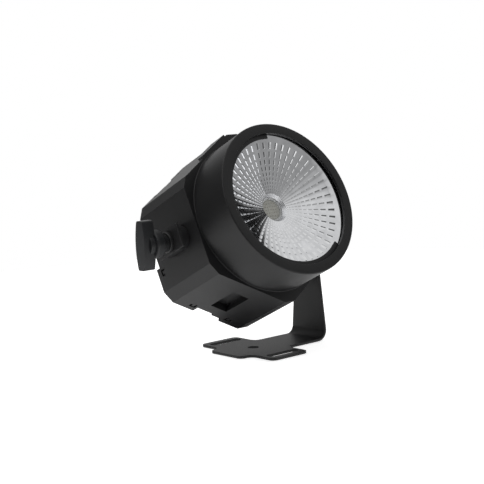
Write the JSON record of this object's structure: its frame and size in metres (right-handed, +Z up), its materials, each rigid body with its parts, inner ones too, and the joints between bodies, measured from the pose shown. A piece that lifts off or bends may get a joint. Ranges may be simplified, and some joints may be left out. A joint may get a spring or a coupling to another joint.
{
  "type": "par can light",
  "caption": "Hexagonal stage light head with a round bezel and a faceted reflector, held by T-bar knobs on an L-shaped slotted bracket.",
  "frame": {"origin": "centre of the base plate's mounting hole, on the underside of the plate", "axes": "+Z up and square to the base plate, +X towards the bracket's leg, the beam leaves towards -Y and is tilted up 25.3 degrees at rest"},
  "size_m": [0.2318, 0.1746, 0.2141],
  "materials": {
    "housing_abs": "fine spark texture, black",
    "bezel_abs": "fine spark texture, black",
    "powder_coat": "matt black powder coat",
    "knob_nylon": "satin black moulding",
    "spacer_nylon": "black moulding",
    "washer_nylon": "black moulding",
    "zinc_steel": "bright zinc plate",
    "black_screw": "black oxide",
    "turned_brass": "turned",
    "metallised_reflector": "vacuum metallised, faceted",
    "ring_abs": "black moulding",
    "led_substrate": "white solder mask on aluminium",
    "led_coating": "clear silicone over the chips",
    "led_chip": "phosphor coated",
    "gap_pad": "soft silicone",
    "holder_plastic": "white moulding",
    "extruded_aluminium": "machined and mill finish",
    "fan_plastic": "black moulding",
    "galvanised_sheet": "galvanised",
    "circuit_board": "green solder mask",
    "board_parts": "mixed components",
    "switch_plastic": "black moulding",
    "display_glass": "dark glass face",
    "window_acrylic": "clear acrylic",
    "panel_abs": "fine texture, black",
    "button_rubber": "dark grey silicone",
    "socket_nylon": "black moulding",
    "contact_metal": "plated",
    "latch_steel": "stamped",
    "eye_steel": "zinc plated wire on a plate"
  },
  "bodies": {
    "bracket": {"bracket": "powder_coat"},
    "head": {"bezel_screws": "zinc_steel", "board_standoffs": "turned_brass", "button_switches": "switch_plastic", "chassis_plate": "galvanised_sheet", "chassis_screws": "zinc_steel", "control_board": "circuit_board", "control_board_screws": "zinc_steel", "display_module": "display_glass", "display_window": "window_acrylic", "dmx_input": "socket_nylon", "dmx_input_pins": "contact_metal", "dmx_output": "socket_nylon", "eye_screws": "black_screw", "fan_frame": "fan_plastic", "fan_screws": "zinc_steel", "front_bezel": "bezel_abs", "heat_sink": "extruded_aluminium", "heat_sink_screws": "zinc_steel", "holder_screws": "zinc_steel", "led_board": "led_substrate", "led_dies": "led_chip", "led_emitter": "led_coating", "led_holder": "holder_plastic", "left_clamp_plate": "powder_coat", "left_insert": "turned_brass", "left_spacer": "spacer_nylon", "left_washer": "washer_nylon", "main_housing": "housing_abs", "power_board": "circuit_board", "power_inlet": "socket_nylon", "power_inlet_pins": "contact_metal", "power_outlet": "socket_nylon", "power_parts": "board_parts", "rear_cover": "panel_abs", "rear_cover_screws": "black_screw", "reflector": "metallised_reflector", "reflector_support": "ring_abs", "retaining_ring": "ring_abs", "right_insert": "turned_brass", "right_spacer": "spacer_nylon", "right_washer": "washer_nylon", "safety_eye": "eye_steel", "socket_screws": "black_screw", "thermal_pad": "gap_pad"},
    "left_stud": {"left_stud": "zinc_steel"},
    "right_stud": {"right_stud": "zinc_steel"},
    "left_knob": {"left_knob": "knob_nylon"},
    "right_knob": {"right_knob": "knob_nylon"},
    "fan_rotor": {"fan_rotor": "fan_plastic"},
    "dmx_latch": {"dmx_output_latch": "latch_steel"},
    "button_1": {"menu_button_1": "button_rubber"},
    "button_2": {"menu_button_2": "button_rubber"},
    "button_3": {"menu_button_3": "button_rubber"},
    "button_4": {"menu_button_4": "button_rubber"}
  },
  "joints": [
    {"name": "head_tilt", "type": "hinge", "parent": "bracket", "child": "head", "pos_m": [-0.01, 0, 0.114], "axis": [-1, 0, 0], "range_deg": [-115.3, 64.7]},
    {"name": "left_stud_travel", "type": "slide", "parent": "head", "child": "left_stud", "axis": [-1, 0, 0], "range_m": [0, 0.0025]},
    {"name": "left_knob_turn", "type": "hinge", "parent": "left_stud", "child": "left_knob", "pos_m": [-0.11, 0, 0.114], "axis": [-1, 0, 0], "range_deg": [0, 720]},
    {"name": "right_stud_travel", "type": "slide", "parent": "head", "child": "right_stud", "axis": [1, 0, 0], "range_m": [0, 0.0025]},
    {"name": "right_knob_turn", "type": "hinge", "parent": "right_stud", "child": "right_knob", "pos_m": [0.09, 0, 0.114], "axis": [1, 0, 0], "range_deg": [0, 720]},
    {"name": "fan_spin", "type": "hinge", "parent": "head", "child": "fan_rotor", "pos_m": [-0.01, -0.00144, 0.11656], "axis": [0, -0.9041, 0.4274], "continuous": true},
    {"name": "button_1_press", "type": "slide", "parent": "head", "child": "button_1", "axis": [0, -0.9041, 0.4274], "range_m": [0, 0.0012], "stiffness_N_per_m": 1200, "springref_m": -0.0004},
    {"name": "button_2_press", "type": "slide", "parent": "head", "child": "button_2", "axis": [0, -0.9041, 0.4274], "range_m": [0, 0.0012], "stiffness_N_per_m": 1200, "springref_m": -0.0004},
    {"name": "button_3_press", "type": "slide", "parent": "head", "child": "button_3", "axis": [0, -0.9041, 0.4274], "range_m": [0, 0.0012], "stiffness_N_per_m": 1200, "springref_m": -0.0004},
    {"name": "button_4_press", "type": "slide", "parent": "head", "child": "button_4", "axis": [0, -0.9041, 0.4274], "range_m": [0, 0.0012], "stiffness_N_per_m": 1200, "springref_m": -0.0004},
    {"name": "latch_press", "type": "slide", "parent": "head", "child": "dmx_latch", "axis": [0, -0.9041, 0.4274], "range_m": [0, 0.002], "stiffness_N_per_m": 1500, "springref_m": -0.0005}
  ],
  "couplings": [
    {"joint": "left_knob_turn", "follows": "left_stud_travel", "rad_per_m": 5026.5},
    {"joint": "right_knob_turn", "follows": "right_stud_travel", "rad_per_m": 5026.5}
  ]
}
